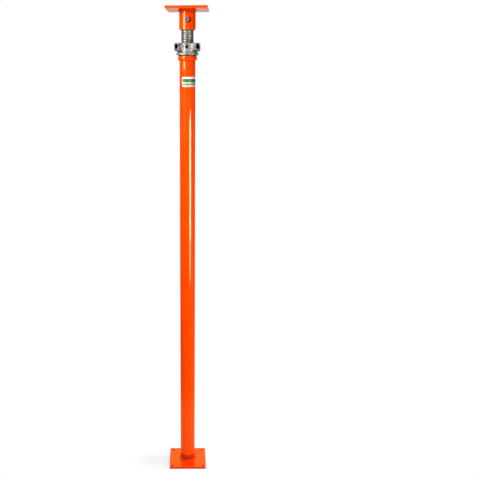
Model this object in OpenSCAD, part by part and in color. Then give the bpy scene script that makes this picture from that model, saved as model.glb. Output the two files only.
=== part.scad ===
// Adjustable steel prop: a pipe column on a square base plate, with a screw that a cast
// collar nut raises and lowers, and a head plate on a socket bolted to the screw's top.
// Millimetres. The origin is the middle of the base plate's underside, and +Z is up.
// The front, where the head bolt shows, faces -Y.

/* [Plates] */
// Side of the square base and head plates
plate_w = 228.6; // [200:0.1:260]
// Thickness of both plates
plate_t = 12.7; // [8:0.1:20]
// Radius of the plates' corners
plate_corner = 3; // [1:0.5:8]
// Distance from a hole's centre to the plate's edges
hole_inset = 19.05; // [14:0.05:26]
// Diameter of the corner holes
hole_d = 14; // [9:0.5:18]

/* [Outer tube] */
// Outside diameter of the outer tube
tube_od = 88.9; // [86:0.1:96]
// Wall of the outer tube
tube_wall = 5.5; // [3:0.1:6.5]
// Length of the outer tube
tube_len = 2475; // [1500:5:3200]

/* [Bearing ring] */
// Thickness of the ring's wall beside the tube
ring_wall = 8.5; // [4:0.1:12]
// Height of the ring
ring_h = 20.5; // [18:0.5:30]
// How far the tube's end goes up into the ring
ring_seat = 12.5; // [8:0.5:15]
// Radius that rounds the ring's outer edges
ring_round = 3; // [1:0.5:6]
// Thickness of the thrust washer
thrust_t = 5; // [2:0.1:6]
// How far the thrust washer stays inside the ring's edge
thrust_inset = 4; // [3:0.5:7]

/* [Collar nut] */
// Height of the nut
nut_h = 63; // [60:0.5:80]
// Diameter of the nut's body between its lugs
body_d = 114; // [106:0.5:120]
// Diameter of the skirt's lip
skirt_d = 122; // [120.5:0.5:132]
// Height of the skirt's lip
lip_h = 13; // [2:0.5:16]
// Height of the curve from the lip up to the body
flare_h = 6; // [6:0.5:12]
// Height of the lugs, down from the nut's top
lug_h = 40; // [38:0.5:44]
// Distance from the axis to a lug's outer face
lug_reach = 84; // [78:0.5:96]
// Width of a lug
lug_w = 36; // [33:0.5:42]
// Radius of the fillets between the lugs and the body
lug_fillet = 16; // [8:0.5:20]
// Radius of a lug's upright edges
lug_round = 4; // [2:0.5:6]
// Bevel along the lug's lower edge
lug_undercut = 4; // [3:0.5:7]
// Diameter of the blind sockets for the turning bar
bar_d = 26; // [20:0.5:28]
// Depth of the bar sockets
bar_depth = 40; // [25:0.5:42]
// Height of the bar sockets above the nut's underside
bar_z = 44.5; // [44:0.5:48]
// Diameter of the small holes between the lugs
pin_hole_d = 15.5; // [8:0.5:18]
// Depth of the small holes
pin_hole_depth = 14; // [6:0.5:15]
// Height of the small holes above the nut's underside
pin_hole_z = 42.5; // [40:0.5:48]
// Bevel at the mouths of the nut's holes
mouth_bevel = 1.5; // [0.5:0.1:2]
// Turn of the lugs from the diagonals at the stored setting
lug_turn = -2.5; // [-20:0.5:20]

/* [Screw] */
// Outside diameter of the threaded length, over the crests
thread_d = 68; // [64:0.1:69]
// Outside diameter of the plain shank at the top
shank_d = 70; // [69.5:0.1:76]
// Bore of the screw tube
screw_bore = 52; // [40:0.5:56]
// Length of the screw tube
screw_len = 735; // [700:5:900]
// Plain shank left showing under the socket
shank_show = 5.6; // [2:0.1:20]
// Bare screw between the nut and the socket at the stored setting
set_gap = 71.1; // [65:0.1:120]
// Rise of the screw from the stored setting to its stop
travel_up = 336; // [240:12:348]
// Bevel at the ends of the screw tube
screw_bevel = 2; // [0.5:0.1:4]

/* [Stop and guide rings] */
// Height of the stop ring
stop_h = 20; // [14:0.5:30]
// Height of the guide ring at the screw's foot
guide_h = 24; // [14:0.5:40]
// Bevel on the rings' outer edges
guide_bevel = 2; // [0.5:0.1:2.5]
// Diameter of the spring pins that hold the rings
spring_pin_d = 8; // [5:0.5:10]
// Wall of a spring pin
spring_pin_wall = 1.5; // [0.8:0.1:2]
// Slot along a spring pin
spring_pin_slot = 1.2; // [0.5:0.1:2]
// Space left between the stop ring and the bearing ring at full rise
stop_slack = 2; // [0.5:0.5:6]

/* [Head] */
// Length of the head's socket tube
socket_len = 102.5; // [90:0.1:160]
// Wall of the socket tube
socket_wall = 10; // [5:0.1:14]
// Turn of the head against the base at the stored setting
head_turn = -4.2; // [-20:0.1:20]

/* [Head bolt] */
// Height of the bolt above the socket's lower end
bolt_up = 51; // [30:0.1:65]
// Diameter of the bolt
bolt_d = 16; // [12:1:20]
// Width across the flats of the bolt's head and nut
bolt_flats = 24; // [22:0.5:32]
// Height of the bolt's head
bolt_head_h = 10; // [7:0.5:14]
// Height of the bolt's nut
bolt_nut_h = 13; // [9:0.5:18]
// Thickness of the spring washer
lock_t = 3.5; // [2:0.1:5]
// Width of the spring washer's section
lock_w = 5; // [3:0.1:6]
// Bolt left standing past its nut
bolt_end = 4; // [1:0.5:12]

/* [Welds] */
// Leg of the weld round the tube's foot
foot_weld = 9; // [4:0.5:12]
// Leg of the weld under the head plate
head_weld_leg = 8; // [4:0.5:12]
// Leg of the weld under the bearing ring
ring_weld_leg = 3; // [3:0.5:7]

/* [Fits] */
// Gap all round between pieces that slide or turn
run_gap = 0.3; // [0.3:0.05:0.6]
// Gap between fastened pieces that touch
touch = 0.05; // [0.02:0.01:0.1]
// Gap all round between the shank and its socket
socket_gap = 0.5; // [0.2:0.05:1.5]
// Gap all round between the bolt and its holes
bolt_gap = 0.5; // [0.2:0.05:1.5]

/* [Hidden] */
$fn = 96;

// Colours
PAINT = [0.99, 0.33, 0.02];
CASTING = [0.70, 0.70, 0.68];
WORN_STEEL = [0.50, 0.50, 0.46];
ZINC = [0.64, 0.68, 0.70];
DARK_STEEL = [0.20, 0.19, 0.18];

// How far a cut runs past the face it opens, and the steps in an arc
CUT = 1;
ARC_STEPS = 8;
HEX = 6;

// Levels, from the floor up
tube_top = plate_t + tube_len;
ring_z = tube_top - ring_seat;
ring_top = ring_z + ring_h;
nut_z = ring_top + thrust_t;
nut_top = nut_z + nut_h;
socket_z = nut_top + set_gap;
head_z = socket_z + socket_len;
screw_z = head_z - screw_len;
thread_top = socket_z - shank_show;
bolt_z = socket_z + bolt_up;
stop_z = tube_top - stop_slack - travel_up - stop_h;

// Radii
tube_r = tube_od / 2;
tube_in_r = tube_r - tube_wall;
ring_r = tube_r + ring_wall;
thread_r = thread_d / 2;
shank_r = shank_d / 2;
guide_r = tube_in_r - run_gap;
thread_bore_r = thread_r + run_gap;
socket_in_r = shank_r + socket_gap;
socket_r = socket_in_r + socket_wall;

// Bolt
bolt_hole_r = bolt_d / 2 + bolt_gap;
bolt_seat = socket_r + touch;
bolt_nut_y = bolt_seat + lock_t + touch;
bolt_tip_y = bolt_nut_y + bolt_nut_h + bolt_end;

// Points on an arc about [x, y] from angle a0 to a1
function arc(x, y, r, a0, a1) =
    [for (i = [0:ARC_STEPS]) let (a = a0 + (a1 - a0) * i / ARC_STEPS) [x + r * cos(a), y + r * sin(a)]];

// A tube with plain ends
module pipe(r_out, r_in, h) {
    difference() {
        cylinder(r = r_out, h = h);
        translate([0, 0, -CUT]) cylinder(r = r_in, h = h + 2 * CUT);
    }
}

// A fillet weld round a tube of radius r, standing on a plate at z = 0
module weld_bead(r, leg) {
    swell = leg / 4;
    rotate_extrude() polygon([
        [r + touch, touch], [r + touch + leg, touch],
        [r + leg / 2 + swell, leg / 2 + swell], [r + touch, touch + leg]]);
}

// A square plate with round corners and a hole near each corner
module drilled_plate() {
    c = plate_w / 2 - plate_corner;
    h = plate_w / 2 - hole_inset;
    difference() {
        linear_extrude(plate_t) polygon(concat(
            arc(c, c, plate_corner, 0, 90), arc(-c, c, plate_corner, 90, 180),
            arc(-c, -c, plate_corner, 180, 270), arc(c, -c, plate_corner, 270, 360)));
        for (x = [-h, h], y = [-h, h])
            translate([x, y, -CUT]) cylinder(d = hole_d, h = plate_t + 2 * CUT);
    }
}

module base_plate() {
    color(PAINT) drilled_plate();
}

module base_weld() {
    color(PAINT) translate([0, 0, plate_t]) weld_bead(tube_r, foot_weld);
}

module outer_tube() {
    color(PAINT) translate([0, 0, plate_t]) pipe(tube_r, tube_in_r, tube_len);
}

// The ring caps the tube: its lip guides the screw and carries the nut's thrust
module bearing_ring() {
    top_arc = arc(ring_r - ring_round, ring_h - ring_round, ring_round, 0, 90);
    foot_arc = arc(ring_r - ring_round, ring_round, ring_round, -90, 0);
    color(PAINT) translate([0, 0, ring_z]) rotate_extrude() polygon(concat(
        [[tube_r + touch, 0]], foot_arc, top_arc,
        [[thread_bore_r, ring_h], [thread_bore_r, ring_seat], [tube_r + touch, ring_seat]]));
}

module ring_weld() {
    color(PAINT) translate([0, 0, ring_z]) mirror([0, 0, 1]) weld_bead(tube_r, ring_weld_leg);
}

module thrust_washer() {
    color(DARK_STEEL) translate([0, 0, ring_top])
        pipe(ring_r - thrust_inset, thread_bore_r + run_gap, thrust_t);
}

// Plan of one lug pointing along +X, with fillets that run into the nut's body
module lug_plan() {
    body_r = body_d / 2 - touch;
    side = lug_w / 2;
    fillet_y = side + lug_fillet;
    fillet_x = sqrt(pow(body_r + lug_fillet, 2) - pow(fillet_y, 2));
    meet = atan2(fillet_y, fillet_x);
    half = concat(
        arc(lug_reach - lug_round, side - lug_round, lug_round, 0, 90),
        arc(fillet_x, fillet_y, lug_fillet, 270, 180 + meet));
    under = [for (i = [len(half) - 1:-1:0]) [half[i][0], -half[i][1]]];
    polygon(concat(half, [[0, 0]], under));
}

// Side view of one lug: bevelled below and along its top edge
module lug_side() {
    base = nut_h - lug_h;
    bevel = lug_undercut / 3;
    polygon([
        [0, base], [lug_reach - lug_undercut, base], [lug_reach + CUT, base + lug_undercut + CUT],
        [lug_reach + CUT, nut_h - bevel - CUT], [lug_reach - bevel, nut_h], [0, nut_h]]);
}

module lug() {
    intersection() {
        translate([0, 0, nut_h - lug_h]) linear_extrude(lug_h) lug_plan();
        rotate([90, 0, 0]) translate([0, 0, -lug_w * 2])
            linear_extrude(lug_w * 4) lug_side();
    }
}

// A hole along +X that starts at radius r, with a bevelled mouth at radius reach
module radial_hole(d, r, reach) {
    translate([r, 0, 0]) rotate([0, 90, 0]) cylinder(d = d, h = reach - r + CUT);
    translate([reach - mouth_bevel, 0, 0]) rotate([0, 90, 0])
        cylinder(d1 = d, d2 = d + 2 * (mouth_bevel + CUT), h = mouth_bevel + CUT);
}

// The cast nut: a body with a flared skirt, four lugs with blind bar sockets, and a
// smaller blind hole between each two lugs
module collar_nut() {
    body_r = body_d / 2;
    lip_r = skirt_d / 2;
    flare = lip_r - body_r;
    flare_arc = [for (i = [0:ARC_STEPS]) let (a = 90 * i / ARC_STEPS)
        [lip_r - flare * sin(a), lip_h + flare_h * (1 - cos(a))]];
    socket_floor = lug_reach - bar_depth;
    pin_floor = body_r - pin_hole_depth;
    color(CASTING) translate([0, 0, nut_z]) rotate(lug_turn) difference() {
        union() {
            rotate_extrude() polygon(concat(
                [[thread_bore_r, mouth_bevel], [thread_bore_r + mouth_bevel, 0],
                 [lip_r - mouth_bevel, 0], [lip_r, mouth_bevel]],
                flare_arc,
                [[body_r, nut_h - mouth_bevel], [body_r - mouth_bevel, nut_h],
                 [thread_bore_r + mouth_bevel, nut_h], [thread_bore_r, nut_h - mouth_bevel]]));
            difference() {
                for (a = [45:90:315]) rotate(a) lug();
                cylinder(r = (body_r + thread_bore_r) / 2, h = nut_h + CUT);
            }
        }
        for (a = [45:90:315]) rotate(a) translate([0, 0, bar_z])
            radial_hole(bar_d, socket_floor, lug_reach);
        for (a = [0:90:270]) rotate(a) translate([0, 0, pin_hole_z])
            radial_hole(pin_hole_d, pin_floor, body_r);
    }
}

// A hole right across the axis, along Y
module cross_hole(r, z) {
    translate([0, tube_od, z]) rotate([90, 0, 0]) cylinder(r = r, h = 2 * tube_od);
}

module screw_tube() {
    shank_z = thread_top - screw_z;
    step = shank_r - thread_r;
    bore_r = screw_bore / 2;
    color(WORN_STEEL) difference() {
        translate([0, 0, screw_z]) rotate_extrude() polygon([
            [bore_r, 0], [thread_r - screw_bevel, 0], [thread_r, screw_bevel],
            [thread_r, shank_z - step], [shank_r, shank_z],
            [shank_r, screw_len - screw_bevel], [shank_r - screw_bevel, screw_len],
            [bore_r, screw_len]]);
        rotate(head_turn) cross_hole(bolt_hole_r, bolt_z);
        cross_hole(spring_pin_d / 2 + touch, stop_z + stop_h / 2);
        cross_hole(spring_pin_d / 2 + touch, screw_z + guide_h / 2);
    }
}

// A ring on the screw that slides in the outer tube, drilled across for its pin
module sliding_ring(z, h) {
    difference() {
        translate([0, 0, z]) rotate_extrude() polygon([
            [thread_r + touch, 0], [guide_r - guide_bevel, 0], [guide_r, guide_bevel],
            [guide_r, h - guide_bevel], [guide_r - guide_bevel, h], [thread_r + touch, h]]);
        cross_hole(spring_pin_d / 2 + touch, z + h / 2);
    }
}

module stop_ring() {
    color(DARK_STEEL) sliding_ring(stop_z, stop_h);
}

module guide_ring() {
    color(DARK_STEEL) sliding_ring(screw_z, guide_h);
}

// A slotted spring pin along Y, as long as the rings allow
module spring_pin(z) {
    half = guide_r - guide_bevel;
    pin_r = spring_pin_d / 2;
    translate([0, half, z]) rotate([90, 0, 0]) difference() {
        pipe(pin_r, pin_r - spring_pin_wall, 2 * half);
        translate([-spring_pin_slot / 2, 0, -CUT]) cube([spring_pin_slot, pin_r + CUT, 2 * half + 2 * CUT]);
    }
}

module spring_pins() {
    color(DARK_STEEL) {
        spring_pin(stop_z + stop_h / 2);
        spring_pin(screw_z + guide_h / 2);
    }
}

module head_socket() {
    color(PAINT) difference() {
        translate([0, 0, socket_z]) pipe(socket_r, socket_in_r, socket_len);
        rotate(head_turn) cross_hole(bolt_hole_r, bolt_z);
    }
}

module head_weld() {
    color(PAINT) translate([0, 0, head_z]) mirror([0, 0, 1]) weld_bead(socket_r, head_weld_leg);
}

module head_plate() {
    color(PAINT) translate([0, 0, head_z]) rotate(head_turn) drilled_plate();
}

// A hexagonal prism along +Z, its corners bevelled at z = 0 and, if both, at the far face
module hex_body(h, both) {
    flat_r = bolt_flats / 2;
    corner_r = flat_r / cos(30);
    rise = (corner_r - flat_r) * tan(30);
    side_r = corner_r + touch;
    intersection() {
        cylinder(r = corner_r, h = h, $fn = HEX);
        rotate_extrude() polygon([
            [0, 0], [flat_r, 0], [side_r, rise],
            [side_r, both ? h - rise : h], [both ? flat_r : side_r, h], [0, h]]);
    }
}

// Draws its children along the bolt's axis, with z = 0 at the screw's axis and +Z to the back
module along_bolt() {
    translate([0, 0, bolt_z]) rotate(head_turn) rotate([-90, 0, 0]) children();
}

module head_bolt() {
    bevel = bolt_d / 16;
    color(ZINC) along_bolt() {
        translate([0, 0, -bolt_seat - bolt_head_h]) hex_body(bolt_head_h, false);
        rotate_extrude() polygon([
            [0, -bolt_seat - CUT], [bolt_d / 2, -bolt_seat - CUT], [bolt_d / 2, bolt_tip_y - bevel],
            [bolt_d / 2 - bevel, bolt_tip_y], [0, bolt_tip_y]]);
    }
}

// A split spring washer
module lock_washer() {
    in_r = bolt_d / 2 + touch;
    color(ZINC) along_bolt() translate([0, 0, bolt_seat]) difference() {
        pipe(in_r + lock_w, in_r, lock_t);
        rotate([0, 30, 0]) translate([0, 0, -lock_t]) cube([lock_t / 2, bolt_d * 2, lock_t * 4]);
    }
}

module bolt_nut() {
    color(ZINC) along_bolt() translate([0, 0, bolt_nut_y]) difference() {
        hex_body(bolt_nut_h, true);
        translate([0, 0, -CUT]) cylinder(d = bolt_d + 2 * touch, h = bolt_nut_h + 2 * CUT);
    }
}

base_plate();
base_weld();
outer_tube();
bearing_ring();
ring_weld();
thrust_washer();
collar_nut();
screw_tube();
stop_ring();
guide_ring();
spring_pins();
head_socket();
head_weld();
head_plate();
head_bolt();
lock_washer();
bolt_nut();
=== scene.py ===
"""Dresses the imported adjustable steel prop.

Shapes are given in millimetres. Materials, lamps, world and camera are in metres.
"""
import math

import bmesh
import bpy
from mathutils import Matrix, Vector, noise


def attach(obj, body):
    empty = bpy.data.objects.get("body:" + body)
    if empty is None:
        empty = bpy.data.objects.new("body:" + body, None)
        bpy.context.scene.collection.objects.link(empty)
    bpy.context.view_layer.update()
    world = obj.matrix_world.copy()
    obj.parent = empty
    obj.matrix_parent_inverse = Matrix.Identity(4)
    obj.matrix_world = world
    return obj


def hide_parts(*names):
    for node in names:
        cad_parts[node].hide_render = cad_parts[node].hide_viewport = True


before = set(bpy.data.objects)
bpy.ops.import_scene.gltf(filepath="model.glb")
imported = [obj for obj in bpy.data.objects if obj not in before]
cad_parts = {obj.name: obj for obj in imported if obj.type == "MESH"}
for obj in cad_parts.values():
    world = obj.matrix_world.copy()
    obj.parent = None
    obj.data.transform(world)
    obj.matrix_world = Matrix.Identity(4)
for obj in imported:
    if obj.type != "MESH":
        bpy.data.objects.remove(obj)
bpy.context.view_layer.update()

MM = 0.001
TAU = math.tau
cos, sin, rad = math.cos, math.sin, math.radians

# The part's own lengths, as its source has them
PLATE_W, PLATE_T, PLATE_CORNER, HOLE_INSET, HOLE_R = 228.6, 12.7, 3.0, 19.05, 7.0
TUBE_R, TUBE_WALL, TUBE_TOP = 44.45, 5.5, 2487.7
RING_Z, RING_R, RING_SEAT, RING_ROUND = 2475.2, 52.95, 12.5, 3.0
RING_TOP, WASHER_T = 2495.7, 5.0
NUT_Z, NUT_TOP, LUG_TURN = 2500.7, 2563.7, -2.5
BAR_Z, BAR_R, BAR_MOUTH = 44.5, 13.0, 84.0
PIN_Z, PIN_R, PIN_MOUTH = 42.5, 7.75, 57.0
LEAD, THREAD_R, SHANK_R, SCREW_BORE = 12.0, 34.0, 35.0, 26.0
SCREW_Z, THREAD_TOP, SCREW_TOP = 2002.3, 2629.2, 2737.3
STOP_Z, GUIDE_Z, SPRING_PIN_HOLE_R = 2139.7, 2014.3, 4.05
SOCKET_Z, SOCKET_R, SOCKET_IN = 2634.8, 45.5, 35.5
HEAD_Z, HEAD_TURN, BOLT_Z = 2737.3, -4.2, 2685.8
BOLT_R, FLAT_R, BOLT_SEAT, BOLT_HEAD_H, BOLT_NUT_H = 8.0, 12.0, 45.55, 10.0, 13.0
BOLT_HOLE_R = BOLT_R + 0.5
LOCK_T, LOCK_W, BOLT_END = 3.5, 5.0, 4.0

# Lengths that only the dressed shapes have
THREAD_DEPTH = 0.8
PAINTED_EDGE = 0.9
CUT_REACH = 60
DIAGONAL = 0.7071


# ---------------------------------------------------------------- mesh helpers
def link(name, data):
    ob = bpy.data.objects.new(name, data)
    bpy.context.scene.collection.objects.link(ob)
    return ob


def add(name, verts, faces):
    me = bpy.data.meshes.new(name)
    me.from_pydata([(x * MM, y * MM, z * MM) for x, y, z in verts], [], faces)
    return link(name, me)


def polar(r, a, z):
    return r * cos(a), r * sin(a), z


def curtain(columns, n, wrap=True, closed=True):
    """Faces between columns of n vertices each.

    wrap joins the last column to the first, and closed joins each column's end to its start.
    """
    faces = []
    for i in range(columns if wrap else columns - 1):
        j = (i + 1) % columns
        for k in range(n if closed else n - 1):
            m = (k + 1) % n
            faces.append((i * n + k, j * n + k, j * n + m, i * n + m))
    return faces


def belts(rings, n, closed=False):
    """Faces between stacked rings of n vertices each; closed joins the last ring to the first."""
    faces = []
    for k in range(rings if closed else rings - 1):
        m = (k + 1) % rings
        for i in range(n):
            j = (i + 1) % n
            faces.append((k * n + i, k * n + j, m * n + j, m * n + i))
    return faces


def end_caps(rings, n):
    return [tuple(range(n - 1, -1, -1)), tuple((rings - 1) * n + i for i in range(n))]


def tidy_normals(ob, angle=30.0):
    """Outward normals, smooth faces, and sharp edges where faces meet at more than the angle."""
    bm = bmesh.new()
    bm.from_mesh(ob.data)
    bmesh.ops.recalc_face_normals(bm, faces=bm.faces)
    limit = rad(angle)
    for f in bm.faces:
        f.smooth = True
    for e in bm.edges:
        e.smooth = len(e.link_faces) == 2 and e.calc_face_angle(0.0) < limit
    bm.to_mesh(ob.data)
    bm.free()
    return ob


def settle(ob):
    """Turns the object's modifiers into its mesh."""
    dg = bpy.context.evaluated_depsgraph_get()
    me = bpy.data.meshes.new_from_object(ob.evaluated_get(dg))
    ob.modifiers.clear()
    ob.data = me
    return ob


def cut(ob, cutters):
    for c in cutters:
        m = ob.modifiers.new("cut", "BOOLEAN")
        m.operation, m.solver, m.object = "DIFFERENCE", "EXACT", c
    settle(ob)
    for c in cutters:
        bpy.data.objects.remove(c)
    return ob


def soften(ob, width):
    """Bevels every edge sharper than 28 degrees."""
    m = ob.modifiers.new("soften", "BEVEL")
    m.limit_method, m.angle_limit = "ANGLE", rad(28.0)
    m.width, m.segments, m.harden_normals = width * MM, 2, False
    m.use_clamp_overlap = True
    return settle(ob)


def fillet(points, steps):
    """A closed outline of (r, z, radius) with each corner rounded to its radius."""
    out, n = [], len(points)
    for i, (x, y, radius) in enumerate(points):
        p = Vector((x, y))
        if radius <= 0:
            out.append((x, y))
            continue
        a = (Vector(points[i - 1][:2]) - p).normalized()
        b = (Vector(points[(i + 1) % n][:2]) - p).normalized()
        half = a.angle(b) / 2
        back = radius / math.tan(half)
        centre = p + (a + b).normalized() * radius / sin(half)
        s, e = p + a * back - centre, p + b * back - centre
        turn = s.angle_signed(e)
        for k in range(steps + 1):
            v = s.copy()
            v.rotate(Matrix.Rotation(-turn * k / steps, 2))
            out.append(tuple(centre + v))
    return out


def lathe(name, outline, segs, wobble=None):
    """Turns a closed outline of (r, z), anticlockwise, about the axis."""
    verts = []
    for i in range(segs):
        a = TAU * i / segs
        for r, z in outline:
            if wobble:
                r, z = wobble(r, z, a)
            verts.append(polar(r, a, z))
    return tidy_normals(add(name, verts, curtain(segs, len(outline))))


def rod(r, a, b, place, flare=0.0, depth=0.0):
    """A cutter from z = a to b, widened by flare over depth at both ends."""
    segs = 48
    if flare:
        rings = [(r + flare, a), (r, a + depth), (r, b - depth), (r + flare, b)]
    else:
        rings = [(r, a), (r, b)]
    verts = [polar(q, TAU * i / segs, z) for q, z in rings for i in range(segs)]
    faces = end_caps(len(rings), segs) + belts(len(rings), segs)
    ob = add("cutter", verts, faces)
    ob.data.transform(place)
    return ob


def shift(x=0.0, y=0.0, z=0.0):
    return Matrix.Translation((x * MM, y * MM, z * MM))


def spin(deg, axis="Z"):
    return Matrix.Rotation(rad(deg), 4, axis)


def wave(x, y, z, scale):
    """Smooth noise from -1 to 1 about a point; scale is the size of a lump."""
    return noise.noise(Vector((x / scale, y / scale, z / scale)))


# ---------------------------------------------------------------- node helpers
class Nodes:
    """A short way to build a shader tree. Inputs are sockets or plain values."""

    def __init__(self, tree):
        self.tree = tree
        tree.nodes.clear()

    def put(self, nd, key, v):
        if isinstance(v, bpy.types.NodeSocket):
            self.tree.links.new(v, nd.inputs[key])
        else:
            nd.inputs[key].default_value = v

    def add(self, kind, ins=None, **props):
        nd = self.tree.nodes.new(kind)
        for k, v in props.items():
            setattr(nd, k, v)
        for k, v in (ins or {}).items():
            self.put(nd, k, v)
        return nd

    def math(self, op, a, b=0.0):
        return self.add("ShaderNodeMath", {0: a, 1: b}, operation=op).outputs[0]

    def plus(self, a, b):
        return self.math("ADD", a, b)

    def minus(self, a, b):
        return self.math("SUBTRACT", a, b)

    def times(self, a, b):
        return self.math("MULTIPLY", a, b)

    def most(self, a, b):
        return self.math("MAXIMUM", a, b)

    def least(self, a, b):
        return self.math("MINIMUM", a, b)

    def size(self, a):
        return self.math("ABSOLUTE", a)

    def hypot(self, a, b):
        return self.math("SQRT", self.plus(self.times(a, a), self.times(b, b)))

    def ramp(self, x, lo, hi, a=0.0, b=1.0):
        return self.add("ShaderNodeMapRange", {0: x, 1: lo, 2: hi, 3: a, 4: b}).outputs[0]

    def step(self, x, lo, hi, a=0.0, b=1.0):
        """A soft step: a below lo, b above hi."""
        return self.add("ShaderNodeMapRange", {0: x, 1: lo, 2: hi, 3: a, 4: b},
                        interpolation_type="SMOOTHSTEP").outputs[0]

    def fall(self, x, lo, hi, top=1.0):
        """A soft step down: top below lo, nothing above hi."""
        return self.step(x, lo, hi, top, 0.0)

    def mix(self, f, a, b):
        """From colour a to colour b by the factor f."""
        nd = self.add("ShaderNodeMix", {0: f}, data_type="RGBA")
        for key, v in ((6, a), (7, b)):
            self.put(nd, key, v if isinstance(v, bpy.types.NodeSocket) else (*v, 1.0))
        return nd.outputs[2]

    def noise(self, vec, scale, detail=2.0, rough=0.5, distort=0.0):
        return self.add("ShaderNodeTexNoise", {"Vector": vec, "Scale": scale, "Detail": detail,
                                               "Roughness": rough, "Distortion": distort}).outputs[0]

    def stretch(self, vec, x, y, z):
        return self.add("ShaderNodeMapping", {"Vector": vec, "Scale": (x, y, z)}).outputs[0]

    def split(self, vec):
        return self.add("ShaderNodeSeparateXYZ", {0: vec}).outputs

    def turned(self, vec, deg):
        """The point as a piece turned by deg about the axis would have it, split."""
        q = self.add("ShaderNodeVectorRotate", {"Vector": vec, "Angle": -rad(deg)},
                     rotation_type="Z_AXIS").outputs[0]
        return self.split(q)

    def distance(self, vec, point):
        return self.add("ShaderNodeVectorMath", {0: vec, 1: point},
                        operation="DISTANCE").outputs["Value"]

    def bump(self, height, strength, distance, normal=None):
        ins = {"Height": height, "Strength": strength, "Distance": distance}
        if normal:
            ins["Normal"] = normal
        return self.add("ShaderNodeBump", ins).outputs[0]

    def light(self, colour, strength):
        return self.add("ShaderNodeEmission", {"Color": (*colour, 1), "Strength": strength}).outputs[0]

    def either(self, chance, a, b):
        return self.add("ShaderNodeMixShader", {0: chance, 1: a, 2: b}).outputs[0]


def material(name, **values):
    """A material with a Principled shader; values are the shader's own sockets.

    Returns the material, its Nodes, the shader and the object's coordinates.
    """
    mat = bpy.data.materials.new(name)
    mat.use_nodes = True
    n = Nodes(mat.node_tree)
    bsdf = n.add("ShaderNodeBsdfPrincipled", {k.replace("_", " "): v for k, v in values.items()})
    n.add("ShaderNodeOutputMaterial", {"Surface": bsdf.outputs[0]})
    where = n.add("ShaderNodeTexCoord").outputs["Object"]
    return mat, n, bsdf, where


def feed(n, bsdf, **sockets):
    for k, v in sockets.items():
        n.tree.links.new(v, bsdf.inputs[k.replace("_", " ")])


# ---------------------------------------------------------------- materials
def paint_material(name, weld=False):
    """Gloss orange enamel: orange peel, slow waviness, and painted shade: darker on the welds, on the base
    plate's top face and rim, on the column's foot and under the head plate, with a painted shadow round the
    bolt.
    """
    mat, n, bsdf, p = material(name, IOR=1.5, Specular_Tint=(1.0, 0.93, 0.64, 1.0))
    tone = n.ramp(n.noise(p, 14.0, 3.0, 0.55), 0.3, 0.7)
    thin = n.step(n.noise(n.stretch(p, 1.0, 1.0, 0.25), 55.0, 4.0, 0.6), 0.62, 0.78)
    x, y, z = n.split(p)
    away = n.hypot(x, y)
    ragged = n.plus(z, n.times(n.minus(n.noise(p, 60.0, 2.0), 0.5), 0.012))
    # Dull places: under the head plate round its weld, and on the tube under the ring's weld. Under the
    # head plate the enamel is also painted darker, as painted shade
    under_head = n.times(n.step(ragged, 2.725, 2.729), n.fall(z, 2.7376, 2.7380))
    under_head = n.times(under_head, n.fall(away, 0.0575, 0.0605))
    under_ring = n.times(n.step(ragged, 2.4672, 2.4686), n.fall(z, 2.4750, 2.4754))
    under_ring = n.times(under_ring, n.fall(away, 0.048, 0.050))
    rough = n.plus(n.ramp(n.noise(p, 30.0, 3.0), 0.3, 0.7, 0.05, 0.09), n.times(thin, 0.05))
    if weld:
        # On the welds the enamel is painted darker, as painted shade round the joints
        body = n.mix(tone, (0.66, 0.034, 0.0002), (0.76, 0.042, 0.0003))
        peel_scale, peel_strength = 300.0, 0.25
    else:
        body = n.mix(tone, (0.92, 0.056, 0.0002), (0.99, 0.066, 0.0004))
        body = n.mix(n.times(thin, 0.16), body, (0.70, 0.045, 0.001))
        specks = n.step(n.noise(p, 620.0, 1.0, 0.5), 0.74, 0.80)
        body = n.mix(n.times(specks, 0.35), body, (0.55, 0.040, 0.002))
        # Painted shade: the base plate's top face a little darker, then darker still on the column's foot
        # and on the base plate's rim, which are also made rougher
        upper_face_shade = n.times(n.fall(z, 0.020, 0.022), n.step(away, 0.050, 0.054))
        body = n.mix(upper_face_shade, body, (0.87, 0.041, 0.0002))
        foot = n.times(n.fall(ragged, 0.044, 0.064), n.fall(away, 0.046, 0.048))
        rim = n.most(n.size(x), n.size(y))
        rim = n.times(n.step(rim, 0.1128, 0.1138), n.fall(z, 0.5, 0.6, 0.7))
        foot = n.most(foot, rim)
        body = n.mix(foot, body, (0.49, 0.019, 0.0001))
        # Painted shadow on the front of the socket, a little to the right of the bolt and below it
        bolt_shadow = n.hypot(n.minus(x, 0.004), n.minus(z, BOLT_Z * MM - 0.0015))
        bolt_shadow = n.times(n.fall(bolt_shadow, 0.0125, 0.0200, 0.9), n.fall(y, -0.03, -0.02))
        body = n.mix(bolt_shadow, body, (0.30, 0.008, 0.0001))
        # Painted shade under the head plate, round its weld
        body = n.mix(under_head, body, (0.80, 0.045, 0.0002))
        rough = n.plus(rough, n.times(foot, 0.22))
        peel_scale, peel_strength = 420.0, 0.05
    nrm = n.bump(n.noise(n.stretch(p, 1.0, 1.0, 0.3), 38.0, 1.0, 0.5), 0.03, 0.0006)
    nrm = n.bump(n.noise(p, peel_scale, 2.0, 0.5), peel_strength, 0.0002, nrm)
    shine = n.minus(0.5, n.times(n.most(under_head, under_ring), 0.42))
    feed(n, bsdf, Base_Color=body, Roughness=rough, Normal=nrm, Specular_IOR_Level=shine)
    return mat


# Painted highlights on the casting, as paler patches: centre, reach and strength
PAINTED_HIGHLIGHTS = (((0.025, -0.042, 2.544), 0.024, 0.70), ((-0.014, -0.050, 2.515), 0.020, 0.60))
LUG_FOOT_Z = 2.5215


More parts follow.
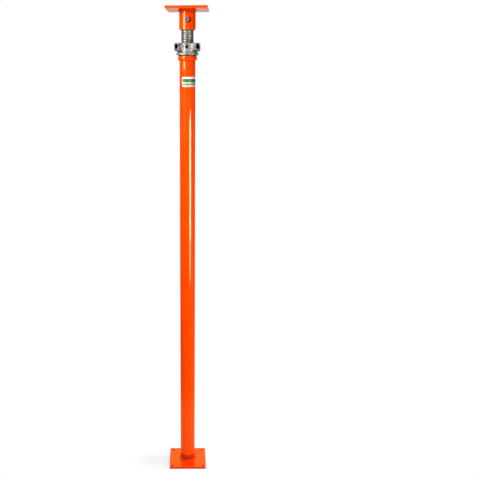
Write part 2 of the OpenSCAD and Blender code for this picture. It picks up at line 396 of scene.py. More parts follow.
def casting_material():
    """As-cast and galvanised and mottled, with painted highlights, painted shade under the lugs and in the
    holes, and darker in concave creases.
    """
    mat, n, bsdf, p = material("galvanised_casting", Metallic=0.6, IOR=1.5)
    blotch = n.noise(p, 75.0, 4.0, 0.62, 0.6)
    fine = n.noise(p, 260.0, 3.0, 0.6)
    tone = n.plus(n.times(blotch, 0.7), n.times(fine, 0.3))
    body = n.mix(n.step(tone, 0.32, 0.68), (0.15, 0.15, 0.14), (0.47, 0.47, 0.455))
    # Paler patches painted as highlights
    for spot, reach, strength in PAINTED_HIGHLIGHTS:
        near = n.distance(p, spot)
        body = n.mix(n.fall(near, reach * 0.3, reach, strength), body, (0.66, 0.66, 0.63))
    x, y, z = n.split(p)
    # Painted shade in a band just under the lugs
    under = n.fall(n.size(n.minus(z, LUG_FOOT_Z)), 0.0025, 0.0045, 0.75)
    lug = n.step(n.least(n.size(x), n.size(y)), 0.024, 0.031)
    lug = n.times(lug, n.step(n.hypot(x, y), 0.0455, 0.049))
    body = n.mix(n.times(under, lug), body, (0.05, 0.045, 0.03))
    # Darker in concave creases
    dents = n.add("ShaderNodeNewGeometry").outputs["Pointiness"]
    body = n.mix(n.step(dents, 0.50, 0.42, 0.0, 0.7), body, (0.10, 0.085, 0.06))
    # Painted shade: the bar sockets and the pin hole painted near black, and made rougher
    hole_shade = 0.0
    for turn, height, r, mouth in ((LUG_TURN + 45, BAR_Z, BAR_R, BAR_MOUTH),
                                   (LUG_TURN, PIN_Z, PIN_R, PIN_MOUTH)):
        x, y, z = n.turned(p, turn)
        u, v = n.size(x), n.size(y)
        side, along = n.least(u, v), n.most(u, v)
        gap = n.hypot(side, n.minus(z, (NUT_Z + height) * MM))
        inside = n.times(n.fall(gap, (r + 0.1) * MM, (r + 0.9) * MM),
                         n.fall(along, (mouth - 1.4) * MM, (mouth - 0.4) * MM))
        hole_shade = n.most(hole_shade, inside)
    body = n.mix(hole_shade, body, (0.007, 0.007, 0.006))
    rough = n.ramp(n.noise(p, 120.0, 3.0), 0.3, 0.7, 0.34, 0.52)
    rough = n.plus(rough, n.times(hole_shade, 0.35))
    nrm = n.bump(n.noise(p, 130.0, 3.0, 0.6), 0.16, 0.0010)
    nrm = n.bump(n.noise(p, 950.0, 2.0, 0.6), 0.18, 0.0002, nrm)
    feed(n, bsdf, Base_Color=body, Roughness=rough, Normal=nrm)
    return mat


def screw_material():
    """Bare rolled steel: grime in the roots, most on the working length, turning marks, and painted shade
    on the shank under the socket.
    """
    mat, n, bsdf, p = material("worn_screw_steel", Metallic=0.6, IOR=1.6)
    x, y, z = n.split(p)
    root = n.fall(n.hypot(x, y), (THREAD_R - THREAD_DEPTH) * MM, (THREAD_R - 0.15) * MM)
    worked = n.step(z, 2.586, 2.602, 1.0, 0.35)
    wear = n.noise(n.stretch(p, 1.0, 1.0, 0.5), 60.0, 4.0, 0.6)
    body = n.mix(n.ramp(wear, 0.3, 0.7), (0.175, 0.175, 0.160), (0.305, 0.305, 0.285))
    body = n.mix(n.times(root, n.times(worked, 0.7)), body, (0.09, 0.085, 0.07))
    stain = n.step(n.noise(p, 110.0, 4.0, 0.65), 0.52, 0.72)
    body = n.mix(n.times(stain, 0.35), body, (0.20, 0.18, 0.13))
    # The plain shank from just below its shoulder up: painted bluish-dark, as painted shade and reflection
    # under the socket, and dull
    shank = n.step(z, 2.6285, 2.6300)
    body = n.mix(shank, body, (0.085, 0.105, 0.105))
    rough = n.ramp(n.plus(n.times(root, 0.3), wear), 0.2, 0.9, 0.27, 0.38)
    rough = n.plus(rough, n.times(shank, 0.35))
    lines = n.noise(n.stretch(p, 12.0, 12.0, 900.0), 1.0, 3.0, 0.7)
    nrm = n.bump(lines, 0.12, 0.00010)
    nrm = n.bump(n.noise(p, 500.0, 2.0), 0.1, 0.0001, nrm)
    feed(n, bsdf, Base_Color=body, Roughness=rough, Normal=nrm)
    return mat


def zinc_material():
    """Bright zinc, clouded, with a painted highlight: paler towards the rim of the bolt's head and nut."""
    mat, n, bsdf, p = material("bright_zinc", Metallic=0.65, IOR=1.5)
    cloud = n.noise(p, 180.0, 4.0, 0.6, 0.4)
    body = n.mix(n.ramp(cloud, 0.3, 0.7), (0.15, 0.19, 0.21), (0.30, 0.33, 0.33))
    x, _, z = n.turned(p, HEAD_TURN)
    from_axis = n.hypot(x, n.minus(z, BOLT_Z * MM))
    # Painted highlight, paler towards the rim
    body = n.mix(n.step(from_axis, 0.0080, 0.0115, 0.0, 0.8), body, (0.50, 0.55, 0.55))
    rough = n.ramp(n.noise(p, 420.0, 3.0), 0.3, 0.7, 0.32, 0.46)
    nrm = n.bump(n.noise(p, 1400.0, 2.0), 0.2, 0.00008)
    feed(n, bsdf, Base_Color=body, Roughness=rough, Normal=nrm)
    return mat


def dark_material():
    """Dark ground steel with smeared oil."""
    mat, n, bsdf, p = material("oiled_dark_steel", Metallic=0.85)
    smear = n.noise(p, 90.0, 4.0, 0.6)
    body = n.mix(n.ramp(smear, 0.3, 0.7), (0.030, 0.028, 0.026), (0.085, 0.080, 0.072))
    rough = n.ramp(n.noise(p, 260.0, 3.0), 0.3, 0.7, 0.30, 0.50)
    nrm = n.bump(n.noise(n.stretch(p, 40.0, 40.0, 700.0), 1.0, 2.0), 0.3, 0.0001)
    feed(n, bsdf, Base_Color=body, Roughness=rough, Normal=nrm)
    return mat


def label_material():
    """A white film with one wide and one thin plain stripe: no words, no mark."""
    mat, n, bsdf, p = material("label_film", IOR=1.45)
    u, v, _ = n.split(n.add("ShaderNodeUVMap").outputs[0])
    soft = 0.012

    def band(x, lo, hi):
        return n.times(n.step(x, lo - soft, lo + soft), n.fall(x, hi - soft, hi + soft))

    inset = band(u, 0.03, 0.97)
    wide = n.times(band(v, 0.46, 0.80), inset)
    thin = n.times(band(v, 0.22, 0.34), inset)
    mottle = n.noise(p, 160.0, 3.0)
    # Darker and beige towards the lower right: partly the film's beige tone, partly painted shade
    beige_and_shade = n.step(n.minus(n.times(u, 0.6), v), -0.60, 0.15)
    film = n.mix(beige_and_shade, (0.72, 0.73, 0.71), (0.47, 0.44, 0.37))
    film = n.mix(n.ramp(mottle, 0.3, 0.7, 0.0, 0.05), film, (0.5, 0.5, 0.48))
    worn = n.ramp(mottle, 0.2, 0.8)
    body = n.mix(wide, film, n.mix(worn, (0.008, 0.105, 0.022), (0.035, 0.17, 0.050)))
    body = n.mix(thin, body, n.mix(worn, (0.012, 0.125, 0.035), (0.045, 0.19, 0.060)))
    rough = n.ramp(mottle, 0.3, 0.7, 0.28, 0.38)
    nrm = n.bump(n.noise(p, 90.0, 2.0), 0.2, 0.0003)
    feed(n, bsdf, Base_Color=body, Roughness=rough, Normal=nrm)
    return mat


def hole_shade_material():
    """Paint on the walls of the plates' holes, painted dark as painted shade."""
    mat, n, bsdf, p = material("painted_shade_in_holes", IOR=1.5)
    tone = n.ramp(n.noise(p, 140.0, 3.0), 0.3, 0.7)
    body = n.mix(tone, (0.20, 0.012, 0.0005), (0.08, 0.006, 0.0005))
    feed(n, bsdf, Base_Color=body, Roughness=n.ramp(n.noise(p, 90.0), 0.3, 0.7, 0.4, 0.6))
    return mat


PAINT = paint_material("orange_enamel")
WELD_PAINT = paint_material("orange_enamel_on_weld", weld=True)
CASTING = casting_material()
WORN = screw_material()
ZINC = zinc_material()
DARK = dark_material()
LABEL = label_material()
HOLE_SHADE_PAINT = hole_shade_material()


def piece(ob, mat, body, slot, *stands_for):
    ob.data.materials.append(mat)
    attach(ob, body)
    if stands_for:
        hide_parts(*stands_for)
    return ob


# ---------------------------------------------------------------- plates
def plate(name, z, turn):
    """A rolled plate: rounded corners, edges softened by paint, holes with worn mouths."""
    half, c = PLATE_W / 2, PLATE_CORNER
    side = []
    for qx, qy, a0 in ((1, 1, 0), (-1, 1, 90), (-1, -1, 180), (1, -1, 270)):
        for k in range(9):
            a = rad(a0 + 90 * k / 8)
            side.append((qx * (half - c) + c * cos(a), qy * (half - c) + c * sin(a)))
    rings = [(PAINTED_EDGE * (1 - sin(t)), PAINTED_EDGE * (1 - cos(t)))
             for t in (rad(q) for q in (0, 22.5, 45, 67.5, 90))]
    rings += [(inset, PLATE_T - h) for inset, h in reversed(rings)]
    verts = []
    for inset, h in rings:
        for xy in side:
            v = Vector(xy)
            v *= 1 - inset / v.length
            verts.append((v.x, v.y, h))
    faces = belts(len(rings), len(side)) + end_caps(len(rings), len(side))
    ob = add(name, verts, faces)
    at, clear = half - HOLE_INSET, 2.0
    cut(ob, [rod(HOLE_R - 0.25, -clear, PLATE_T + clear, shift(x, y), 1.8, 2.4)
             for x in (-at, at) for y in (-at, at)])
    for f in ob.data.polygons:
        x, y, h = (c / MM for c in f.center)
        in_hole = abs(abs(x) - at) < HOLE_R and abs(abs(y) - at) < HOLE_R
        f.material_index = int(1.0 < h < PLATE_T - 1.0 and in_hole)
    ob.data.transform(shift(0, 0, z) @ spin(turn))
    return tidy_normals(ob, 25.0)


for name, z, turn, body in (("base_plate", 0.0, 0.0, "outer"), ("head_plate", HEAD_Z, HEAD_TURN, "screw")):
    ob = piece(plate(name + "_steel", z, turn), PAINT, body, "paint", name)
    # The holes' walls take the second slot, painted dark as painted shade
    ob.data.materials.append(HOLE_SHADE_PAINT)


# ---------------------------------------------------------------- welds
def bead(name, r, leg, z, up, pitch, seed, lump=0.10, heavy=None, swell=0.20):
    """A fillet weld run by hand round a tube of radius r: overlapping ripples, uneven legs.

    up is 1 for a bead standing on z and -1 for one hanging from it. heavy is one thicker place:
    its angle, how much thicker, and half its width in degrees.
    """
    sunk, back, under = 0.25, 0.6, 0.4
    ripples = round(TAU * (r + leg / 2) / pitch)
    segs, rows = 420, 12
    verts = []
    for i in range(segs):
        a = TAU * i / segs
        uneven = 1 + lump * wave(cos(a) * 40, sin(a) * 40, seed * 17.0, 14.0)
        if heavy:
            angle, extra, reach = heavy
            near = (a - rad(angle) + math.pi) % TAU - math.pi
            uneven += extra * math.exp(-(near / rad(reach)) ** 2)
        across = leg * uneven
        along = leg * (1 + lump * wave(cos(a) * 40, sin(a) * 40, seed * 17.0 + 90, 18.0))
        along *= 1 + (uneven - 1) * 0.5
        for k in range(rows + 1):
            t = k / rows
            s = sin(math.pi * t)
            phase = (i * ripples / segs + 0.30 * s) % 1.0
            ripple = leg * 0.085 * (phase ** 0.7) * (0.35 + 0.65 * s)
            out = leg * swell * s + ripple * s
            x = across * (1 - t) + out * DIAGONAL
            h = along * t + out * DIAGONAL
            verts.append(polar(r - sunk + x, a, z + up * (h - sunk)))
        verts.append(polar(r - back, a, z - up * under))
    return tidy_normals(add(name, verts, curtain(segs, rows + 2)), 60.0)


foot_weld = bead("foot_weld_bead", TUBE_R, 8.6, PLATE_T, 1, 4.6, 1)
piece(foot_weld, WELD_PAINT, "outer", "paint", "base_weld")
ring_weld = bead("ring_weld_bead", TUBE_R, 2.9, RING_Z, -1, 4.2, 2, 0.22, (186, 0.9, 14))
piece(ring_weld, WELD_PAINT, "outer", "paint", "ring_weld")
head_weld = bead("head_weld_bead", SOCKET_R, 7.2, HEAD_Z, -1, 4.6, 3, 0.06, None, 0.02)
piece(head_weld, WELD_PAINT, "screw", "paint", "head_weld")


# ---------------------------------------------------------------- tubes and rings
def tube_outline(outer, inner, z0, z1, rows, round_out=0.6):
    """A tube's section: the outside going up and the bore coming down, each in so many rows."""
    inner_edge = 0.4
    pts = [(outer - round_out, z0), (outer, z0 + round_out)]
    pts += [(outer, z0 + round_out + (z1 - z0 - 2 * round_out) * k / rows) for k in range(1, rows)]
    pts += [(outer, z1 - round_out), (outer - round_out, z1)]
    pts += [(inner + inner_edge, z1), (inner, z1 - inner_edge)]
    pts += [(inner, z1 + (z0 - z1) * k / rows) for k in range(1, rows)]
    return pts + [(inner, z0 + inner_edge), (inner + inner_edge, z0)]


def rolled(r, z, a):
    """The slight out-of-round of a drawn pipe."""
    if r > TUBE_R - 1:
        r -= 0.10 * (1 + wave(cos(a) * 60, sin(a) * 60, z * 0.25, 45.0))
    return r, z


column_pts = tube_outline(TUBE_R, TUBE_R - TUBE_WALL, PLATE_T, TUBE_TOP, 90)
piece(lathe("column_tube", column_pts, 128, rolled), PAINT, "outer", "paint", "outer_tube")


def dressed_ring(r, z, a):
    """The ring is a turned piece under thick paint: its edges run unevenly."""
    if r > TUBE_R + 2:
        low = max(0.0, 1 - (z - RING_Z) / 6.5)
        r -= 0.35 * low
        r -= 0.04 * (1 + wave(cos(a) * 50, sin(a) * 50, z, 22.0)) * (1 + low)
    return r, z


ring_bore, ring_step = THREAD_R + 0.3, TUBE_R + 0.05
ring_pts = fillet([(ring_step, RING_Z, 0), (RING_R, RING_Z, 2.0), (RING_R, RING_Z + 3.0, 0),
                   (RING_R, RING_Z + 6.5, 0), (RING_R, RING_Z + 8.0, 0), (RING_R, RING_TOP - 3.8, 0),
                   (RING_R, RING_TOP, RING_ROUND), (ring_bore, RING_TOP, 0.8),
                   (ring_bore, RING_Z + RING_SEAT, 0), (ring_step, RING_Z + RING_SEAT, 0)], 8)
ring = lathe("bearing_ring_turned", ring_pts, 160, dressed_ring)
piece(ring, PAINT, "outer", "paint", "bearing_ring")

washer_in, washer_out, washer_top = THREAD_R + 0.6, RING_R - 4.0, RING_TOP + WASHER_T
washer_pts = fillet([(washer_in, RING_TOP, 0.4), (washer_out, RING_TOP, 0.5),
                     (washer_out, washer_top, 0.5), (washer_in, washer_top, 0.4)], 4)
washer = lathe("thrust_washer_ground", washer_pts, 128)
piece(washer, DARK, "outer", "dark_steel", "thrust_washer")

# The bolt's place: its axis along local z, local y pointing down
cross = shift(0, 0, BOLT_Z) @ spin(HEAD_TURN) @ spin(-90, "X")
socket_pts = tube_outline(SOCKET_R, SOCKET_IN, SOCKET_Z, HEAD_Z, 14, 1.0)
socket = lathe("head_socket_tube", socket_pts, 144)
cut(socket, [rod(BOLT_HOLE_R, -CUT_REACH, CUT_REACH, cross)])
piece(tidy_normals(socket), PAINT, "screw", "paint", "head_socket")


# ---------------------------------------------------------------- screw and collar nut
def thread(a, z):
    """How deep the right-hand thread is below its wide crest, at an angle and height."""
    s = ((z - THREAD_TOP) / LEAD - a / TAU) % 1.0
    w = max(0.0, 1 - abs(s - 0.5) / 0.23)
    return THREAD_DEPTH * w * w * (3 - 2 * w)


def build_screw():
    """The thread and the plain shank going up, then the bore coming down."""
    segs, shank_foot = 84, THREAD_TOP + 1.0
    rows = [(THREAD_R - 2.4, SCREW_Z, False)]
    z = SCREW_Z + 2.0
    while z < THREAD_TOP - 0.01:
        rows.append((THREAD_R, z, True))
        z += 1.0
    rows += [(THREAD_R, THREAD_TOP, False), (SHANK_R, shank_foot, False)]
    rows += [(SHANK_R, shank_foot + 110.0 * k / 8, False) for k in range(1, 8)]
    rows += [(SHANK_R, SCREW_TOP - 1.5, False), (SHANK_R - 1.5, SCREW_TOP, False)]
    rows += [(SCREW_BORE, SCREW_TOP, False)]
    rows += [(SCREW_BORE, SCREW_TOP + (SCREW_Z - SCREW_TOP) * k / 40, False) for k in range(1, 41)]
    verts = []
    for i in range(segs):
        a = TAU * i / segs
        for r, z, threaded in rows:
            if threaded:
                fade = min(1.0, (THREAD_TOP - z) / 9.0) * min(1.0, 0.4 + (z - SCREW_Z) / 8.0)
                r -= thread(a, z) * fade
                r -= max(0.0, 2.0 - (z - SCREW_Z) * 0.5) * 0.6
            verts.append(polar(r, a, z))
    ob = tidy_normals(add("screw_threaded", verts, curtain(segs, len(rows))), 50.0)
    pins = [shift(0, 0, z) @ spin(-90, "X") for z in (STOP_Z, GUIDE_Z)]
    cut(ob, [rod(BOLT_HOLE_R, -CUT_REACH, CUT_REACH, cross)]
        + [rod(SPRING_PIN_HOLE_R, -CUT_REACH, CUT_REACH, p) for p in pins])
    return tidy_normals(ob, 50.0)


piece(build_screw(), WORN, "screw", "worn_steel", "screw_tube")


def roughen(bm):
    """Moves the casting's outside in and out, but not its bore, foot or holes."""
    holes = ((45.0, BAR_Z, BAR_R), (0.0, PIN_Z, PIN_R), (90.0, PIN_Z, PIN_R))
    moves = []
    for v in bm.verts:
        x, y, z = (c / MM for c in v.co)
        z -= NUT_Z
        r = math.hypot(x, y)
        a = (math.degrees(math.atan2(y, x)) - LUG_TURN) % 90.0
        skin = min(1.0, max(0.0, (r - 37.0) / 3.0)) * min(1.0, z / 2.0)
        for base, height, radius in holes:
            side, along = r * sin(rad(a - base)), r * cos(rad(a - base))
            gap = math.hypot(side, z - height) - radius
            if along > 40.0:
                skin *= min(1.0, max(0.0, (gap - 0.3) / 2.0))
        lumps = 0.55 * wave(x, y, z, 13.0) + 0.28 * wave(x + 50, y, z, 5.5) + 0.10 * wave(x, y + 50, z, 2.6)
        moves.append(v.normal * (skin * (lumps - 0.25) * MM))
    for v, d in zip(bm.verts, moves):
        v.co += d


def line_nut(bm):
    """Adds the threaded lining of the casting's bore, closed behind by a plain wall."""
    segs, rows, crest, wall = 96, 74, THREAD_R + 0.35, 36.0
    grid = []
    for i in range(segs):
        a = TAU * i / segs
        column = []
        for k in range(rows + 1):
            z = NUT_Z + 0.8 + (NUT_TOP - NUT_Z - 1.8) * k / rows
            end = min(z - NUT_Z, NUT_TOP - z)
            r = max(crest - thread(a, z), crest - max(0.0, end - 0.6) * 0.9)
            column.append((r, z))
        column += [(wall, NUT_TOP - 1.4), (wall, NUT_Z + 1.2)]
        grid.append([bm.verts.new((r * cos(a) * MM, r * sin(a) * MM, z * MM)) for r, z in column])
    for i in range(segs):
        p, q = grid[i], grid[(i + 1) % segs]
        for k in range(len(p)):
            m = (k + 1) % len(p)
            bm.faces.new((p[k], p[m], q[m], q[k]))


def build_nut():
    """The casting: the solid with its edges melted round, a rough skin, and a cut thread inside."""
    ob = link("collar_nut_cast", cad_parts["collar_nut"].data.copy())
    ob.data.materials.clear()
    m = ob.modifiers.new("skin", "REMESH")
    m.mode, m.voxel_size, m.adaptivity = "VOXEL", 1.3 * MM, 0.0
    s = ob.modifiers.new("melt", "SMOOTH")
    s.factor, s.iterations = 0.5, 4
    settle(ob)
    bm = bmesh.new()
    bm.from_mesh(ob.data)
    bm.normal_update()
    roughen(bm)
    line_nut(bm)
    bm.to_mesh(ob.data)
    bm.free()
    return tidy_normals(ob, 60.0)


piece(build_nut(), CASTING, "collar", "casting", "collar_nut")


# ---------------------------------------------------------------- head bolt
def hex_body(name, h, both, bore=0.0, dish=0.0):
    """A forged hexagon with chamfered corners, its outer face at z = 0.

    both chamfers the inner face too, bore opens it through and dish sinks the outer face.
    """
    n, cham, mouth, foot = 120, FLAT_R * 0.95, 1.2, 0.6
    rise = math.tan(rad(30))
    # Each ring is a function from the hexagon's own radius to (r, z)
    if bore:
        rings = [lambda q: (bore, mouth), lambda q: (bore + 1.1, 0.0)]
    else:
        rings = [lambda q: (0.02, dish), lambda q: (cham * 0.35, dish),
                 lambda q: (cham * 0.62, dish * 0.55), lambda q: (cham * 0.82, 0.0)]
    rings += [lambda q: (cham, 0.0), lambda q: (q, (q - cham) * rise)]
    if both:
        rings += [lambda q: (q, h - (q - cham) * rise), lambda q: (cham, h)]
    else:
        rings += [lambda q: (q, h - foot), lambda q: (cham + 0.1, h - foot), lambda q: (cham, h)]
    if bore:
        rings += [lambda q: (bore + 1.1, h), lambda q: (bore, h - mouth)]
    else:
        rings += [lambda q: (0.02, h)]
    verts = []
    for ring_at in rings:
        for i in range(n):
            a = TAU * i / n
            local = math.degrees(a) % 60.0 - 30.0
            r, z = ring_at(FLAT_R / cos(rad(local)))
            verts.append(polar(r, a, z))
    faces = belts(len(rings), n, closed=bool(bore))
    if not bore:
        faces += [tuple(range(n)), tuple((len(rings) - 1) * n + i for i in range(n))]
    return tidy_normals(add(name, verts, faces), 20.0)


def join(a, b):
    bm = bmesh.new()
    bm.from_mesh(a.data)
    bm.from_mesh(b.data)
    bm.to_mesh(a.data)
    bm.free()
    bpy.data.objects.remove(b)
    return a


def build_bolt():
    """The hexagon head and the shank, whose 2 mm thread starts 20 mm from the column's axis."""
    head = hex_body("head_bolt_zinc", BOLT_HEAD_H, False, dish=0.35)
    soften(head, 0.35)
    head.data.transform(shift(0, 0, -BOLT_SEAT - BOLT_HEAD_H))
    tip = BOLT_SEAT + 0.05 + LOCK_T + 0.05 + BOLT_NUT_H + BOLT_END
    segs, root, centre = 48, -BOLT_SEAT - 0.6, 0.02
    rows = [(centre, root, False), (BOLT_R, root, False), (BOLT_R, 20.0, False)]
    z = 20.5
    while z < tip - 1.2:
        rows.append((BOLT_R, z, True))
        z += 0.4
    rows += [(BOLT_R - 1.1, tip - 0.3, False), (BOLT_R - 1.5, tip, False), (centre, tip, False)]
    n = len(rows)
    verts = []
    for i in range(segs):
        a = TAU * i / segs
        for r, z, threaded in rows:
            if threaded:
                s = abs(((z / 2.0 - a / TAU) % 1.0) - 0.5) * 2
                r -= 1.05 * (1 - s) * min(1.0, (z - 20.0) / 3.0) + max(0.0, z - (tip - 2.0)) * 0.6
            verts.append(polar(r, a, z))
    faces = curtain(segs, n, closed=False)
    faces += [tuple(i * n + k for i in range(segs)) for k in (0, n - 1)]
    join(head, tidy_normals(add("shank", verts, faces), 30.0))
    head.data.transform(cross)
    return head


piece(build_bolt(), ZINC, "screw", "zinc", "head_bolt")

bolt_nut = soften(hex_body("bolt_nut_zinc", BOLT_NUT_H, True, BOLT_R + 0.05), 0.3)
bolt_nut.data.transform(cross @ shift(0, 0, BOLT_SEAT + 0.05 + LOCK_T))
piece(bolt_nut, ZINC, "screw", "zinc", "bolt_nut")


def build_lock_washer():
    """A split spring washer with rounded wire corners, its gap pointing down."""
    inner, outer, low, high = BOLT_R + 0.1, BOLT_R + LOCK_W, 0.05, LOCK_T - 0.05
    section = fillet([(inner, low, 0.5), (outer, low, 0.5), (outer, high, 0.5), (inner, high, 0.5)], 3)
    n, steps, verts = len(section), 90, []
    for i in range(steps + 1):
        t = i / steps
        for r, z in section:
            lean = (z - LOCK_T / 2) * 0.9 / r
            a = rad(90) + rad(5) + (TAU - rad(10)) * t + lean
            verts.append(polar(r, a, z))
    faces = curtain(steps + 1, n, wrap=False)
    faces += [tuple(range(n)), tuple(steps * n + k for k in range(n))]
    ob = tidy_normals(add("lock_washer_zinc", verts, faces), 40.0)
    ob.data.transform(cross @ shift(0, 0, BOLT_SEAT))
    return ob


piece(build_lock_washer(), ZINC, "screw", "zinc", "lock_washer")


# ---------------------------------------------------------------- label
def build_label():
    """A film wrapped on the tube, with round corners and a thin edge."""
    a0, a1, z0, z1, thick, corner = -90 - 42, -90 + 97, 2331.0, 2385.0, 0.15, 2.6
    r = TUBE_R + 0.02
    width, height = rad(a1 - a0) * r, z1 - z0
    nu, nv = 64, 24
    bm = bmesh.new()
    layer = bm.loops.layers.uv.new("UVMap")
    flat = {}

    def place(i, j, rr):
        x, y = width * i / nu, height * j / nv
        cx, cy = min(max(x, corner), width - corner), min(max(y, corner), height - corner)
        d = math.hypot(x - cx, y - cy)
        if d > corner and (x != cx and y != cy):
            x, y = cx + (x - cx) * corner / d, cy + (y - cy) * corner / d
        a = rad(a0) + x / r
        v = bm.verts.new((rr * cos(a) * MM, rr * sin(a) * MM, (z0 + y) * MM))
        flat[v] = (x / width, y / height)
        return v

    top = [[place(i, j, r + thick) for j in range(nv + 1)] for i in range(nu + 1)]
    low = [[place(i, j, r - 0.1) for j in range(nv + 1)] for i in range(nu + 1)]
    faces = []
    for i in range(nu):
        for j in range(nv):
            faces.append((top[i][j], top[i + 1][j], top[i + 1][j + 1], top[i][j + 1]))
            faces.append((low[i][j], low[i][j + 1], low[i + 1][j + 1], low[i + 1][j]))
    rim = [(i, 0) for i in range(nu)] + [(nu, j) for j in range(nv)]
    rim += [(i, nv) for i in range(nu, 0, -1)] + [(0, j) for j in range(nv, 0, -1)]
    for k, (i, j) in enumerate(rim):
        p, q = rim[(k + 1) % len(rim)]
        faces.append((top[i][j], low[i][j], low[p][q], top[p][q]))
    for f in faces:
        for loop in bm.faces.new(f).loops:
            loop[layer].uv = flat[loop.vert]
    me = bpy.data.meshes.new("label_film")
    bm.to_mesh(me)
    bm.free()
    return tidy_normals(link("label_film", me), 40.0)


piece(build_label(), LABEL, "outer", "paint")

# The three pieces that no view shows keep their solids as they are
for hidden in ("stop_ring", "guide_ring", "spring_pins"):
    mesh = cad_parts[hidden].data
    mesh.materials.clear()
    mesh.materials.append(DARK)


# ---------------------------------------------------------------- stage
def build_floor():
    """A white disc: the camera sees white and a soft shadow, other rays a pale floor's light."""
    segs, inner, outer = 96, 800.0, 9000.0
    verts = [(0, 0, 0)] + [polar(q, TAU * i / segs, 0) for q in (inner, outer) for i in range(segs)]
    faces = [(0, 1 + i, 1 + (i + 1) % segs) for i in range(segs)]
    faces += [(1 + i, 1 + segs + i, 1 + segs + (i + 1) % segs, 1 + (i + 1) % segs) for i in range(segs)]
    ob = add("studio_floor", verts, faces)
    mat = bpy.data.materials.new("studio_white")
    mat.use_nodes = True
    n = Nodes(mat.node_tree)
    p = n.add("ShaderNodeTexCoord").outputs["Object"]
    # Only a patch at the foot takes the shadow. Its matt part is lit to 1.28, which the glow leaves out
    catch = n.fall(n.distance(n.stretch(p, 1.0, 1.4, 1.0), (-0.185, -0.03, 0.0)), 0.03, 0.20, 0.60)
    glow = n.light((1, 1, 1), n.minus(1.0, n.times(catch, 1.28)))
    part = n.add("ShaderNodeBsdfDiffuse", {"Color": n.mix(catch, (0, 0, 0), (0.9, 0.9, 0.9))})
    seen = n.add("ShaderNodeAddShader", {0: glow, 1: part.outputs[0]}).outputs[0]
    near = n.add("ShaderNodeVectorMath", {0: p}, operation="LENGTH").outputs["Value"]
    bounce = n.light((1.0, 0.9, 0.9), n.step(near, 0.3, 2.8, 1.10, 0.28))
    shine = n.light((1.0, 0.85, 0.4), n.step(near, 0.6, 1.2, 0.45, 0.03))
    path = n.add("ShaderNodeLightPath").outputs
    other = n.either(path["Is Glossy Ray"], bounce, shine)
    n.add("ShaderNodeOutputMaterial", {"Surface": n.either(path["Is Camera Ray"], other, seen)})
    ob.data.materials.append(mat)


build_floor()


def lamp(name, azimuth, away, z, width, height, power, shine, tint=(1.0, 1.0, 1.0), aim=None, grid=0.0):
    """A soft lamp facing the column's axis; azimuth 0 is the front, positive to the right.

    shine makes it a lamp that only reflections show, and power is then its radiance. For the
    others power is the light they give at the axis. aim is the height it points at, when that
    isn't its own. grid is the full angle of a honeycomb in front of it, in degrees, or none.
    """
    data = bpy.data.lights.new(name, "AREA")
    data.shape, data.size, data.size_y, data.color = "RECTANGLE", width, height, tint
    data.energy = math.pi * width * height * power if shine else math.pi ** 2 * away ** 2 * power
    if grid:
        half = rad(grid) / 2
        data.spread = rad(grid)
        data.energy *= 1 - half / math.tan(half)
    ob = link(name, data)
    x, y = away * sin(rad(azimuth)), -away * cos(rad(azimuth))
    ob.location = (x, y, z)
    ob.rotation_euler = Vector((-x, -y, (aim or z) - z)).to_track_quat("-Z", "Y").to_euler()
    ob.visible_camera = False
    ob.visible_glossy, ob.visible_diffuse = shine, not shine


STRIP, GRID = (1.0, 0.95, 0.85), 46.0
lamp("left_strip", -46.2, 3.0, 2.848, 1.80, 0.705, 20.0, True, STRIP, 2.625, GRID)
lamp("left_tail", -46.0, 3.0, 2.19, 1.2, 0.60, 1.0, True, STRIP)
lamp("right_strip", 40.3, 3.0, 1.425, 1.35, 1.27, 34.0, True, STRIP, 1.83, GRID)
lamp("right_tail", 40.3, 3.0, 0.575, 1.10, 0.43, 16.0, True, STRIP, 1.35, GRID)
lamp("high_key", -42.0, 1.6, 3.08, 0.30, 0.30, 1.28, False, aim=2.60)
lamp("left_fill", -45.0, 1.3, 2.15, 0.8, 0.8, 0.22, False)
lamp("front_fill", 12.0, 1.5, 1.80, 0.8, 0.9, 0.49, False)
lamp("right_key", 52.0, 1.6, 0.85, 1.0, 1.0, 0.40, False, aim=0.45)
lamp("right_side", 92.0, 2.0, 0.8, 0.9, 0.7, 0.42, False, aim=0.1)
lamp("back_fill", 180.0, 3.2, 1.5, 2.0, 2.6, 0.35, False)


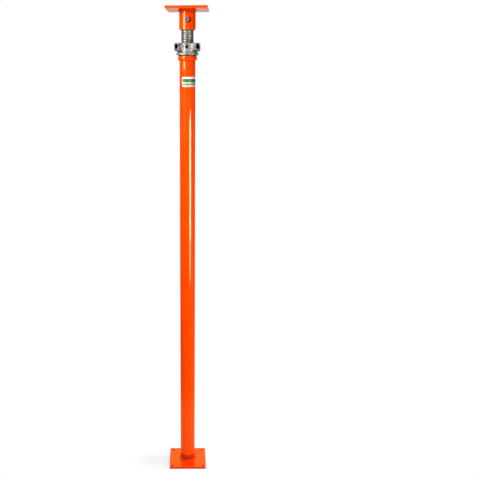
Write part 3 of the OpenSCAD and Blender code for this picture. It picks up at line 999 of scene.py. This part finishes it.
def build_world():
    """White to the camera, a soft sky to matt surfaces, and a dim room in reflections."""
    world = bpy.data.worlds.new("studio")
    bpy.context.scene.world = world
    world.use_nodes = True
    n = Nodes(world.node_tree)
    _, y, z = n.split(n.add("ShaderNodeTexCoord").outputs["Generated"])
    # In reflections: the wall behind the prop, a brighter part of it high up, and a faint ceiling
    back = n.step(y, 0.60, 0.98, 0.0, 0.62)
    level = n.step(n.size(z), 0.0, 0.6, 1.0, 0.34)
    above = n.times(n.step(y, 0.3, 0.7), n.step(z, 0.25, 0.42))
    ceiling = n.step(z, 0.3, 0.9, 0.0, 0.10)
    shine = n.plus(n.times(back, level), n.plus(ceiling, 0.015))
    shine = n.plus(shine, n.times(above, 1.15))
    soft = n.plus(0.17, n.times(n.most(z, 0.0), 0.95))
    path = n.add("ShaderNodeLightPath").outputs
    seen, mirrored = path["Is Camera Ray"], path["Is Glossy Ray"]
    strength = n.add("ShaderNodeMix", {0: mirrored, 2: soft, 3: shine}, data_type="FLOAT").outputs[0]
    strength = n.add("ShaderNodeMix", {0: seen, 2: strength, 3: 1.0}, data_type="FLOAT").outputs[0]
    glossy = n.times(mirrored, n.minus(1.0, seen))
    tint = n.mix(n.times(glossy, n.step(y, 0.3, 0.6)), (1.0, 1.0, 1.0), (1.0, 0.92, 0.82))
    tint = n.mix(n.times(glossy, above), tint, (1.0, 0.85, 0.22))
    sky = n.add("ShaderNodeBackground", {"Color": tint, "Strength": strength})
    n.add("ShaderNodeOutputWorld", {"Surface": sky.outputs[0]})


build_world()

# The photograph's viewpoint: its height, how far it looks down and how far it leans
CAMERA_AT, CAMERA_DOWN, CAMERA_LEAN = (0.0, -3.8496, 2.3401), 14.278, -0.04
camera_data = bpy.data.cameras.new("camera")
camera_data.lens, camera_data.sensor_width = 50.0055, 36.0
camera_data.shift_x, camera_data.shift_y = 0.1092, 0.03125
camera = link("camera", camera_data)
camera.location = CAMERA_AT
camera.rotation_euler = (spin(90 - CAMERA_DOWN, "X") @ spin(CAMERA_LEAN)).to_euler()
bpy.context.scene.camera = camera
bpy.context.scene.view_settings.view_transform = "Standard"
